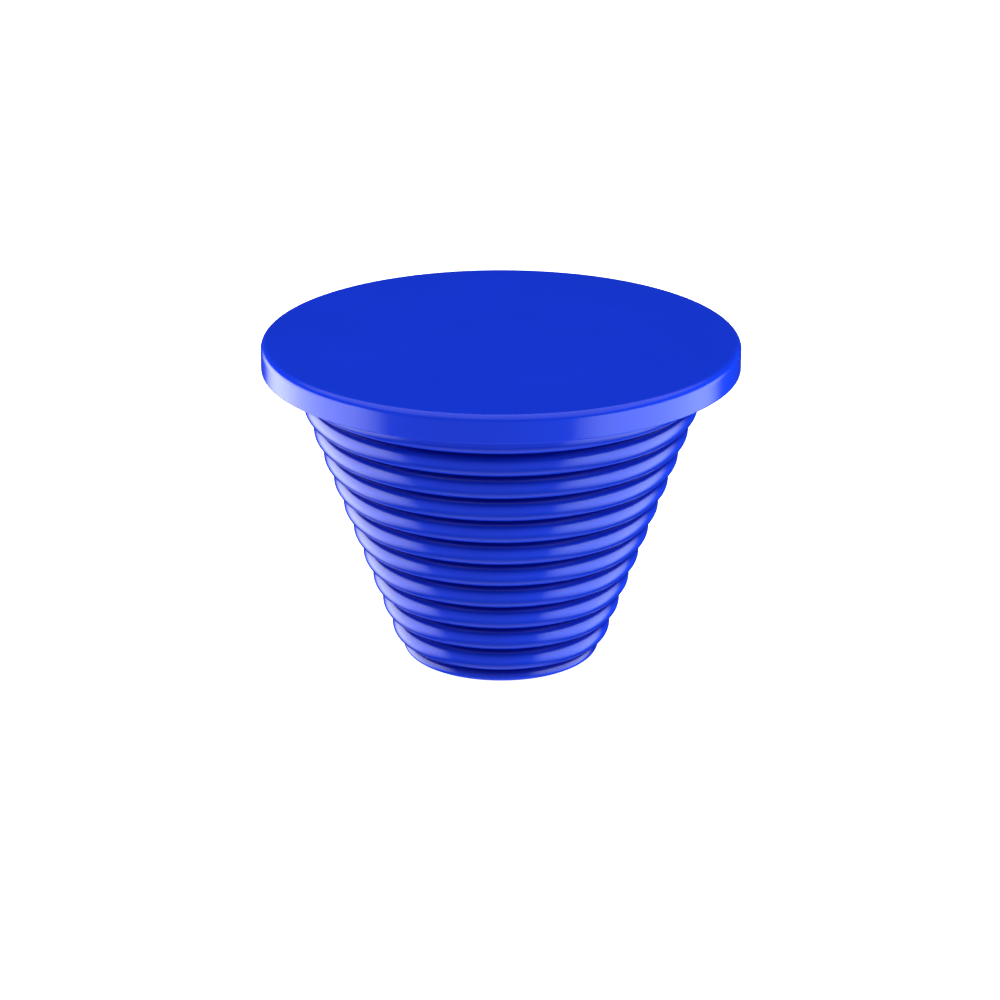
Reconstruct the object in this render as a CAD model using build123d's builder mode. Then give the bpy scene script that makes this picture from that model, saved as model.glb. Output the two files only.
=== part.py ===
"""Ribbed conical stopper: a broad head disc, a barbed core stem and a soft ribbed body.

Millimetres. +Z runs up the axis to the head. The origin is the centre of the flat small end.
"""

from build123d import *

import math
import os

# Head disc
head_diameter = 50.0
head_thickness = 2.9
head_top_radius = 0.75
head_lower_radius = 0.15

# Soft body: a straight taper that carries level sealing beads, one below the other
total_height = 34.6
taper_angle = 20.0
bead_pitch = 2.76
full_beads = 11
first_groove_drop = 5.5
first_groove_radius = 19.95
bead_bulge = 1.2
base_radius = 9.8
base_bead_bulge = 0.6

# Boss under the head, and the socket in it that takes the stem
boss_diameter = 16.0
boss_length = 5.0
socket_diameter = 9.0
socket_length = 6.0

# Core stem, with barbs that hold the soft body
stem_foot_height = 7.0
stem_diameter = 9.0
stem_tip_radius = 1.5
barb_count = 3
barb_reach = 1.6
barb_height = 3.4
barb_pitch = 4.4
first_barb_height = 10.0

head_radius = head_diameter / 2
head_underside = total_height - head_thickness
boss_underside = head_underside - boss_length
socket_top = boss_underside + socket_length
stem_radius = stem_diameter / 2
taper = math.tan(math.radians(taper_angle))


def groove_point(number):
    """Root of a groove as (radius, height). Groove 1 is the one nearest to the head."""
    below_first = (number - 1) * bead_pitch
    return (first_groove_radius - taper * below_first, total_height - first_groove_drop - below_first)


def shoulder_point():
    """Top of the taper, where the first bead meets the head's underside."""
    radius, height = groove_point(1)
    return (radius + taper * (head_underside - height), head_underside)


def stem_outline():
    """Half section of the stem: a straight shank with barbs that slope down and face up."""
    points = [(0, stem_foot_height), (stem_radius - stem_tip_radius, stem_foot_height)]
    points.append((stem_radius, stem_foot_height + stem_tip_radius))
    for number in range(barb_count):
        foot = first_barb_height + number * barb_pitch
        points.append((stem_radius, foot))
        points.append((stem_radius + barb_reach, foot + barb_height))
        points.append((stem_radius, foot + barb_height))
    points += [(stem_radius, socket_top), (0, socket_top)]
    return points


# Head disc: the flat top, the rim that stops on the neck, and the boss beneath
with BuildPart() as head_disc:
    with BuildSketch(Plane.XY.offset(head_underside)):
        Circle(head_radius)
    extrude(amount=head_thickness)
    rim_edges = head_disc.edges().filter_by(GeomType.CIRCLE).sort_by(Axis.Z)
    fillet(rim_edges[-1], radius=head_top_radius)
    fillet(rim_edges[0], radius=head_lower_radius)
    with BuildSketch(Plane.XY.offset(boss_underside)):
        Circle(boss_diameter / 2)
    extrude(amount=boss_length)
    with BuildSketch(Plane.XY.offset(boss_underside)):
        Circle(socket_diameter / 2)
    extrude(amount=socket_length, mode=Mode.SUBTRACT)

# Core stem: stiff, hidden, pressed into the boss and gripped by the body around its barbs
with BuildPart() as core_stem:
    with BuildSketch(Plane.XZ):
        with BuildLine():
            Polyline(*stem_outline(), close=True)
        make_face()
    revolve(axis=Axis.Z)

# Soft body: every bead is an arc from groove to groove, and the short last one ends on the flat base
with BuildPart() as ribbed_body:
    with BuildSketch(Plane.XZ):
        with BuildLine():
            grooves = [groove_point(number) for number in range(full_beads, 0, -1)]
            Line((0, 0), (base_radius, 0))
            SagittaArc((base_radius, 0), grooves[0], -base_bead_bulge)
            for lower, upper in zip(grooves, grooves[1:] + [shoulder_point()]):
                SagittaArc(lower, upper, -bead_bulge)
            Line(shoulder_point(), (0, head_underside))
            Line((0, head_underside), (0, 0))
        make_face()
    revolve(axis=Axis.Z)
    with BuildSketch(Plane.XY.offset(head_underside)):
        Circle(boss_diameter / 2)
    extrude(amount=-boss_length, mode=Mode.SUBTRACT)
    with BuildSketch(Plane.XZ):
        with BuildLine():
            Polyline(*stem_outline(), close=True)
        make_face()
    revolve(axis=Axis.Z, mode=Mode.SUBTRACT)

os.makedirs("parts", exist_ok=True)
for name, piece in (("head_disc", head_disc), ("core_stem", core_stem), ("ribbed_body", ribbed_body)):
    piece.part.label = name
    export_step(piece.part, f"parts/{name}.step")
    print(name, round(piece.part.volume), piece.part.bounding_box().size)
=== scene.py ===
"""Looks of the ribbed conical stopper: moulded blue head and body round a hidden stem, in a white studio."""

import math

import bmesh
import bpy
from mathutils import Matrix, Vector


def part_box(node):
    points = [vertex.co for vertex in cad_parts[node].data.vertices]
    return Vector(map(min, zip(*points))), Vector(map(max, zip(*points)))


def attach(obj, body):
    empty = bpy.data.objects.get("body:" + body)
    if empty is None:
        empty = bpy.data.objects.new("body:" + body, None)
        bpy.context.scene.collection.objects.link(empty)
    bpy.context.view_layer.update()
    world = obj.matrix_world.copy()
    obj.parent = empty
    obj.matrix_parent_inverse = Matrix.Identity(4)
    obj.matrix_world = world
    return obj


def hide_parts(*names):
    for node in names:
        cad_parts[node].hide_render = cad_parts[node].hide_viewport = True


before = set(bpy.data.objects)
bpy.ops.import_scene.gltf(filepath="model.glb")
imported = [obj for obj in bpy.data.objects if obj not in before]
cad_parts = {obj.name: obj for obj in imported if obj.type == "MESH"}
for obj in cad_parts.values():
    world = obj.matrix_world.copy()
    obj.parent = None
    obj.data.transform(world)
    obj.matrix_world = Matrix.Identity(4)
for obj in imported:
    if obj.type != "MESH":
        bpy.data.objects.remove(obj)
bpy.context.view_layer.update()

MM = 0.001

# Fineness of the turned meshes: segments round the axis, and steps along each curve of an outline
SEGMENTS = 288
BEAD_STEPS = 18
LOWER_FILLET_STEPS = 4
TOP_FILLET_STEPS = 10
# How far from a fillet the flat face beside it gets one more ring
SUPPORT = 0.12 * MM
# Edges that turn less than this are shaded smooth
SHARP = math.radians(35.0)

head_low, head_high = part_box("head_disc")
_, body_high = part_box("ribbed_body")
stem_low, stem_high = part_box("core_stem")

# Shape of the head, in metres
HEAD_RADIUS = head_high.x
HEAD_TOP = head_high.z
HEAD_UNDERSIDE = body_high.z
BOSS_UNDERSIDE = head_low.z
HEAD_TOP_RADIUS = 0.75 * MM
HEAD_LOWER_RADIUS = 0.15 * MM
BOSS_RADIUS = 8.0 * MM
SOCKET_RADIUS = 4.5 * MM
SOCKET_TOP = stem_high.z

# Shape of the body, in metres
TAPER = math.tan(math.radians(20.0))
BEAD_PITCH = 2.76 * MM
FULL_BEADS = 11
FIRST_GROOVE_DROP = 5.5 * MM
FIRST_GROOVE_RADIUS = 19.95 * MM
BEAD_BULGE = 1.2 * MM
BASE_RADIUS = 9.8 * MM
BASE_BEAD_BULGE = 0.6 * MM
GATE_RADIUS = 1.6 * MM
GATE_FLOOR_RADIUS = 0.7 * GATE_RADIUS
GATE_DEPTH = 0.25 * MM

# Shape of the stem, in metres
STEM_RADIUS = 4.5 * MM
STEM_TIP_RADIUS = 1.5 * MM
BARB_COUNT = 3
BARB_REACH = 1.6 * MM
BARB_HEIGHT = 3.4 * MM
BARB_PITCH = 4.4 * MM
FIRST_BARB_HEIGHT = 10.0 * MM

# Camera: lengths follow from the head's radius, the lens is in millimetres, the shift is a share of the width
CAMERA_ELEVATION = math.radians(20.6)
CAMERA_DISTANCE = 14.41 * HEAD_RADIUS
CAMERA_TARGET_DROP = 0.7224 * HEAD_RADIUS
CAMERA_LENS = 122.45
CAMERA_SHIFT = -0.001

# Studio, in metres
SOFTBOX_DISTANCE = 0.4
FLOOR_GAP = 0.02 * MM
ROOM_REACH = 40 * HEAD_RADIUS


# ---------------------------------------------------------------- outlines


def arc(start, end, bulge, steps):
    """Points of an arc in (radius, height) that bulges away from the axis, from start (left out) to end."""
    start, end = Vector(start), Vector(end)
    chord = end - start
    half = chord.length / 2
    radius = (half * half + bulge * bulge) / (2 * bulge)
    outward = Vector((chord.y, -chord.x)).normalized()
    centre = (start + end) / 2 + outward * (bulge - radius)
    first = math.atan2(*(start - centre).yx)
    turn = 2 * math.atan2(half, radius - bulge)
    spokes = (first + turn * step / steps for step in range(1, steps + 1))
    return [tuple(centre + Vector((math.cos(a), math.sin(a))) * radius) for a in spokes]


def fillet(corner, before, after, radius, steps):
    """Points of a quarter round in place of a right-angled corner, from unit direction before to after.

    One more point at each end holds the shading of the flat faces beside it flat.
    """
    corner, before, after = Vector(corner), Vector(before), Vector(after)
    centre = corner - before * radius + after * radius
    angles = (math.pi / 2 * step / steps for step in range(steps + 1))
    points = [centre + (before * math.sin(a) - after * math.cos(a)) * radius for a in angles]
    points.insert(0, points[0] - before * SUPPORT)
    points.append(points[-1] + after * SUPPORT)
    return [tuple(point) for point in points]


def groove_point(number):
    """Root of a groove as (radius, height). Groove 1 is the one nearest to the head."""
    below_first = (number - 1) * BEAD_PITCH
    return (FIRST_GROOVE_RADIUS - TAPER * below_first, HEAD_TOP - FIRST_GROOVE_DROP - below_first)


def shoulder_point():
    """Top of the taper, where the first bead meets the head's underside."""
    radius, height = groove_point(1)
    return (radius + TAPER * (HEAD_UNDERSIDE - height), HEAD_UNDERSIDE)


def stem_outline(top):
    """Half section of the stem from its foot up to a height, barbs included."""
    foot = stem_low.z
    points = [(0, foot), (STEM_RADIUS - STEM_TIP_RADIUS, foot), (STEM_RADIUS, foot + STEM_TIP_RADIUS)]
    for number in range(BARB_COUNT):
        start = FIRST_BARB_HEIGHT + number * BARB_PITCH
        points.append((STEM_RADIUS, start))
        points.append((STEM_RADIUS + BARB_REACH, start + BARB_HEIGHT))
        points.append((STEM_RADIUS, start + BARB_HEIGHT))
    points.append((STEM_RADIUS, top))
    return points


def head_outline():
    """Half section of the head, from the socket's roof round to the middle of the top face."""
    rim_low, rim_high = (HEAD_RADIUS, HEAD_UNDERSIDE), (HEAD_RADIUS, HEAD_TOP)
    points = [(0, SOCKET_TOP), (SOCKET_RADIUS, SOCKET_TOP), (SOCKET_RADIUS, BOSS_UNDERSIDE)]
    points += [(BOSS_RADIUS, BOSS_UNDERSIDE), (BOSS_RADIUS, HEAD_UNDERSIDE)]
    points += fillet(rim_low, (1, 0), (0, 1), HEAD_LOWER_RADIUS, LOWER_FILLET_STEPS)
    points += fillet(rim_high, (0, 1), (-1, 0), HEAD_TOP_RADIUS, TOP_FILLET_STEPS)
    points.append((0, HEAD_TOP))
    return points


def body_outline():
    """Half section of the body, from the middle of the base up the beads and down into the bore."""
    points = [(0, GATE_DEPTH), (GATE_FLOOR_RADIUS, GATE_DEPTH), (GATE_RADIUS, 0), (BASE_RADIUS, 0)]
    points += arc(points[-1], groove_point(FULL_BEADS), BASE_BEAD_BULGE, BEAD_STEPS)
    for number in range(FULL_BEADS - 1, 0, -1):
        points += arc(points[-1], groove_point(number), BEAD_BULGE, BEAD_STEPS)
    points += arc(points[-1], shoulder_point(), BEAD_BULGE, BEAD_STEPS)
    points += [(BOSS_RADIUS, HEAD_UNDERSIDE), (BOSS_RADIUS, BOSS_UNDERSIDE)]
    points += reversed(stem_outline(BOSS_UNDERSIDE))
    return points


# ---------------------------------------------------------------- meshes


def lathe(name, outline):
    """A closed mesh turned round Z from a half section that starts and ends on the axis."""
    mesh = bpy.data.meshes.new(name)
    bm = bmesh.new()
    rings = []
    for radius, height in outline:
        if radius == 0:
            rings.append([bm.verts.new((0, 0, height))])
            continue
        turns = (2 * math.pi * step / SEGMENTS for step in range(SEGMENTS))
        rings.append([bm.verts.new((radius * math.cos(a), radius * math.sin(a), height)) for a in turns])
    for lower, upper in zip(rings, rings[1:]):
        for step in range(SEGMENTS):
            after = (step + 1) % SEGMENTS
            corners = [lower[step % len(lower)], lower[after % len(lower)]]
            corners += [upper[after % len(upper)], upper[step % len(upper)]]
            bm.faces.new(list(dict.fromkeys(corners)))
    bmesh.ops.recalc_face_normals(bm, faces=bm.faces)
    for edge in bm.edges:
        edge.smooth = len(edge.link_faces) == 2 and edge.calc_face_angle() < SHARP
    for face in bm.faces:
        face.smooth = True
    bm.to_mesh(mesh)
    bm.free()
    piece = bpy.data.objects.new(name, mesh)
    bpy.context.scene.collection.objects.link(piece)
    return piece


# ---------------------------------------------------------------- materials


# Moulded surfaces: noise scales per metre, noise levels that the clouds fade between, and the ripple's depth
CLOUD_SCALE = 90.0
CLOUD_LOW, CLOUD_HIGH = 0.3, 0.7
GRAIN_SCALE = 1400.0
RIPPLE_DEPTH = 0.02 * MM


def moulded(name, colour, roughness, grain, tint):
    """Moulded polymer: faint clouds in the colour, and one fine noise for the gloss's grain and the ripple.

    grain is how far the roughness strays, and tint is the share by which the colour does.
    """
    material = bpy.data.materials.new(name)
    material.use_nodes = True
    nodes, links = material.node_tree.nodes, material.node_tree.links
    shader = nodes["Principled BSDF"]
    place = nodes.new("ShaderNodeTexCoord")

    cloud = nodes.new("ShaderNodeTexNoise")
    cloud.inputs["Scale"].default_value = CLOUD_SCALE
    cloud.inputs["Detail"].default_value = 3.0
    links.new(place.outputs["Object"], cloud.inputs["Vector"])
    shades = nodes.new("ShaderNodeValToRGB")
    shades.color_ramp.elements[0].position = CLOUD_LOW
    shades.color_ramp.elements[1].position = CLOUD_HIGH
    shades.color_ramp.elements[0].color = (*(c * (1 - tint) for c in colour), 1)
    shades.color_ramp.elements[1].color = (*(min(c * (1 + tint), 1) for c in colour), 1)
    links.new(cloud.outputs["Fac"], shades.inputs["Fac"])
    links.new(shades.outputs["Color"], shader.inputs["Base Color"])

    fine_noise = nodes.new("ShaderNodeTexNoise")
    fine_noise.inputs["Scale"].default_value = GRAIN_SCALE
    fine_noise.inputs["Detail"].default_value = 4.0
    links.new(place.outputs["Object"], fine_noise.inputs["Vector"])
    gloss = nodes.new("ShaderNodeMapRange")
    gloss.inputs["To Min"].default_value = roughness - grain
    gloss.inputs["To Max"].default_value = roughness + grain
    links.new(fine_noise.outputs["Fac"], gloss.inputs["Value"])
    links.new(gloss.outputs["Result"], shader.inputs["Roughness"])

    bump = nodes.new("ShaderNodeBump")
    bump.inputs["Strength"].default_value = 0.05
    bump.inputs["Distance"].default_value = RIPPLE_DEPTH
    links.new(fine_noise.outputs["Fac"], bump.inputs["Height"])
    links.new(bump.outputs["Normal"], shader.inputs["Normal"])

    shader.inputs["IOR"].default_value = 1.5
    shader.inputs["Specular IOR Level"].default_value = 0.2
    return material


def paint_groove_shade(material):
    """Multiply painted shade into the colour round every groove, by the share of the height from one groove
    down to the next.
    """
    nodes, links = material.node_tree.nodes, material.node_tree.links
    shader = nodes["Principled BSDF"]
    colour = shader.inputs["Base Color"].links[0].from_socket
    split = nodes.new("ShaderNodeSeparateXYZ")
    links.new(nodes["Texture Coordinate"].outputs["Object"], split.inputs["Vector"])
    pitches = nodes.new("ShaderNodeMapRange")
    pitches.clamp = False
    pitches.inputs["From Min"].default_value = groove_point(1)[1]
    pitches.inputs["From Max"].default_value = groove_point(2)[1]
    links.new(split.outputs["Z"], pitches.inputs["Value"])
    down_bead = nodes.new("ShaderNodeMath")
    down_bead.operation = "FRACT"
    links.new(pitches.outputs["Result"], down_bead.inputs[0])
    # Ramp of painted shade: darkest at the root of each groove, where the bead above shades it
    painted_shade_ramp = nodes.new("ShaderNodeValToRGB")
    ramp = painted_shade_ramp.color_ramp
    ramp.interpolation = "EASE"
    ramp.elements.remove(ramp.elements[1])
    for position, red_and_green, blue in GROOVE_PAINTED_SHADE:
        ramp.elements.new(position).color = (red_and_green, red_and_green, blue, 1)
    ramp.elements.remove(ramp.elements[0])
    links.new(down_bead.outputs["Value"], painted_shade_ramp.inputs["Fac"])
    mix = nodes.new("ShaderNodeMix")
    mix.data_type = "RGBA"
    mix.blend_type = "MULTIPLY"
    mix.inputs["Factor"].default_value = 1.0
    links.new(colour, mix.inputs["A"])
    links.new(painted_shade_ramp.outputs["Color"], mix.inputs["B"])
    links.new(mix.outputs["Result"], shader.inputs["Base Color"])


BLUE = (0.0042, 0.0290, 0.525)
# Painted shade round the grooves: share of the way down a bead, then how much of the red and green, and of the
# blue, is left there.
# The painted shade leaves the colour dark under the bead above, nearly full in the middle, weaker below it,
# and nearly full at the lower lip.
GROOVE_PAINTED_SHADE = (
    (0.06, 0.10, 0.36),
    (0.45, 0.95, 0.95),
    (0.72, 0.70, 0.70),
    (0.88, 0.95, 0.95),
)
IVORY = (0.78, 0.76, 0.70)
head_material = moulded("moulded_head", BLUE, roughness=0.16, grain=0.02, tint=0.03)
body_material = moulded("moulded_body", BLUE, roughness=0.16, grain=0.03, tint=0.04)
# Painted shade round the body's grooves, multiplied into its colour
paint_groove_shade(body_material)
stem_material = moulded("uncoloured_core", IVORY, roughness=0.45, grain=0.05, tint=0.05)


# ---------------------------------------------------------------- pieces

head = lathe("head", head_outline())
head.data.materials.append(head_material)
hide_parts("head_disc")
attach(head, "root")

body = lathe("body", body_outline())
body.data.materials.append(body_material)
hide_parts("ribbed_body")
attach(body, "root")

stem = lathe("stem", [*stem_outline(SOCKET_TOP), (0, SOCKET_TOP)])
stem.data.materials.append(stem_material)
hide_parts("core_stem")
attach(stem, "root")


# ---------------------------------------------------------------- studio


def white_room():
    """A white floor, walls and ceiling that only the camera sees, so they give no shadow and no reflection."""
    mesh = bpy.data.meshes.new("room")
    bm = bmesh.new()
    bmesh.ops.create_cube(bm, size=2 * ROOM_REACH)
    bmesh.ops.translate(bm, verts=bm.verts, vec=(0, 0, ROOM_REACH - FLOOR_GAP))
    bm.to_mesh(mesh)
    bm.free()
    room = bpy.data.objects.new("room", mesh)
    bpy.context.scene.collection.objects.link(room)
    material = bpy.data.materials.new("white_room")
    material.use_nodes = True
    shader = material.node_tree.nodes["Principled BSDF"]
    shader.inputs["Base Color"].default_value = (0.9, 0.9, 0.9, 1)
    shader.inputs["Roughness"].default_value = 0.9
    shader.inputs["Specular IOR Level"].default_value = 0.0
    shader.inputs["Emission Color"].default_value = (1, 1, 1, 1)
    shader.inputs["Emission Strength"].default_value = 1.0
    mesh.materials.append(material)
    room.visible_glossy = False
    room.visible_diffuse = False
    room.visible_shadow = False


def fading(nodes, links, coordinate, start, end, colour=(1, 1, 1)):
    """A colour that rises from black over the start of a 0 to 1 coordinate and falls back over its end."""
    fade = nodes.new("ShaderNodeValToRGB")
    ramp = fade.color_ramp
    ramp.interpolation = "EASE"
    ramp.elements[0].position, ramp.elements[0].color = 0.0, (0, 0, 0, 1)
    ramp.elements[1].position, ramp.elements[1].color = 1.0, (0, 0, 0, 1)
    for position in (start, 1 - end):
        ramp.elements.new(position).color = (*colour, 1)
    links.new(coordinate, fade.inputs["Fac"])
    return fade.outputs["Color"]


def softbox(
    name, azimuth, elevation, across, upward, radiance, sides, low_and_top, colour=(1, 1, 1)
):
    """A flat panel of light that faces the object and fades out towards its edges.

    Azimuth 0 is the camera's side and turns to the right. across and upward hold the angles of the panel's
    side edges and of its lower and upper edges, seen from the object and counted from the panel's own
    direction. sides and low_and_top hold the shares of the panel over which it fades.
    """
    left, right, low, high = (SOFTBOX_DISTANCE * math.tan(math.radians(angle)) for angle in (*across, *upward))
    mesh = bpy.data.meshes.new(name)
    mesh.from_pydata([(left, low, 0), (right, low, 0), (right, high, 0), (left, high, 0)], [], [(0, 1, 2, 3)])
    panel = bpy.data.objects.new(name, mesh)
    bpy.context.scene.collection.objects.link(panel)
    a, e = math.radians(azimuth), math.radians(elevation)
    outward = Vector((math.sin(a) * math.cos(e), -math.cos(a) * math.cos(e), math.sin(e)))
    panel.location = Vector((0, 0, HEAD_TOP / 2)) + outward * SOFTBOX_DISTANCE
    panel.rotation_mode = "QUATERNION"
    panel.rotation_quaternion = outward.to_track_quat("Z", "Y")
    panel.visible_camera = False

    material = bpy.data.materials.new(name)
    material.use_nodes = True
    nodes, links = material.node_tree.nodes, material.node_tree.links
    nodes.clear()
    place = nodes.new("ShaderNodeTexCoord")
    split = nodes.new("ShaderNodeSeparateXYZ")
    links.new(place.outputs["Generated"], split.inputs["Vector"])
    across_fade = fading(nodes, links, split.outputs["X"], *sides)
    upward_fade = fading(nodes, links, split.outputs["Y"], *low_and_top, colour)
    both = nodes.new("ShaderNodeMix")
    both.data_type = "RGBA"
    both.blend_type = "MULTIPLY"
    both.inputs["Factor"].default_value = 1.0
    links.new(across_fade, both.inputs["A"])
    links.new(upward_fade, both.inputs["B"])
    glow = nodes.new("ShaderNodeEmission")
    glow.inputs["Strength"].default_value = radiance
    links.new(both.outputs["Result"], glow.inputs["Color"])
    out = nodes.new("ShaderNodeOutputMaterial")
    links.new(glow.outputs["Emission"], out.inputs["Surface"])
    mesh.materials.append(material)


# Light from the surroundings, and the share of the way up from straight below over which it fades
DIM = 0.02
FROM_BELOW = 0.9
FADE_START, FADE_END = 0.015, 0.08


def surroundings():
    """A nearly dark room, with light from straight below."""
    world = bpy.data.worlds.new("studio")
    world.use_nodes = True
    nodes, links = world.node_tree.nodes, world.node_tree.links
    place = nodes.new("ShaderNodeTexCoord")
    split = nodes.new("ShaderNodeSeparateXYZ")
    links.new(place.outputs["Generated"], split.inputs["Vector"])
    height = nodes.new("ShaderNodeMapRange")
    height.inputs["From Min"].default_value = -1.0
    height.inputs["From Max"].default_value = 1.0
    links.new(split.outputs["Z"], height.inputs["Value"])
    shades = nodes.new("ShaderNodeValToRGB")
    levels = ((FADE_START, FROM_BELOW), (FADE_END, DIM))
    for element, (position, level) in zip(shades.color_ramp.elements, levels):
        element.position, element.color = position, (level, level, level, 1)
    links.new(height.outputs["Result"], shades.inputs["Fac"])
    links.new(shades.outputs["Color"], nodes["Background"].inputs["Color"])
    bpy.context.scene.world = world


def make_camera():
    """The camera looks along +Y and down, at a point on the object's axis."""
    data = bpy.data.cameras.new("camera")
    data.sensor_width = 36.0
    data.lens = CAMERA_LENS
    data.shift_x = CAMERA_SHIFT
    camera = bpy.data.objects.new("camera", data)
    bpy.context.scene.collection.objects.link(camera)
    target = Vector((0, 0, HEAD_TOP - CAMERA_TARGET_DROP))
    back = Vector((0, -math.cos(CAMERA_ELEVATION), math.sin(CAMERA_ELEVATION)))
    camera.location = target + back * CAMERA_DISTANCE
    camera.rotation_mode = "QUATERNION"
    camera.rotation_quaternion = back.to_track_quat("Z", "Y")
    bpy.context.scene.camera = camera


make_camera()
white_room()
softbox(
    "left_softbox", -100, 0, across=(-53, 52), upward=(-56, 12), radiance=7.9,
    sides=(0.43, 0.316), low_and_top=(0.81, 0.04), colour=(0.98, 1.02, 1.0),
)
softbox(
    "right_softbox", 78, 0, across=(-52, 51.5), upward=(-60, 12), radiance=6.8,
    sides=(0.326, 0.358), low_and_top=(0.864, 0.04), colour=(0.95, 1.08, 1.0),
)
softbox(
    "front_softbox", -10, 0, across=(-50, 48), upward=(-55, 14), radiance=0.6,
    sides=(0.2, 0.2), low_and_top=(0.2, 0.055),
)
softbox(
    "top_softbox", 180, 89, across=(-60, 60), upward=(-50, 62), radiance=2.3,
    sides=(0.3, 0.3), low_and_top=(0.24, 0.55),
)
surroundings()

view_settings = bpy.context.scene.view_settings
view_settings.view_transform = "Standard"
view_settings.look = "None"
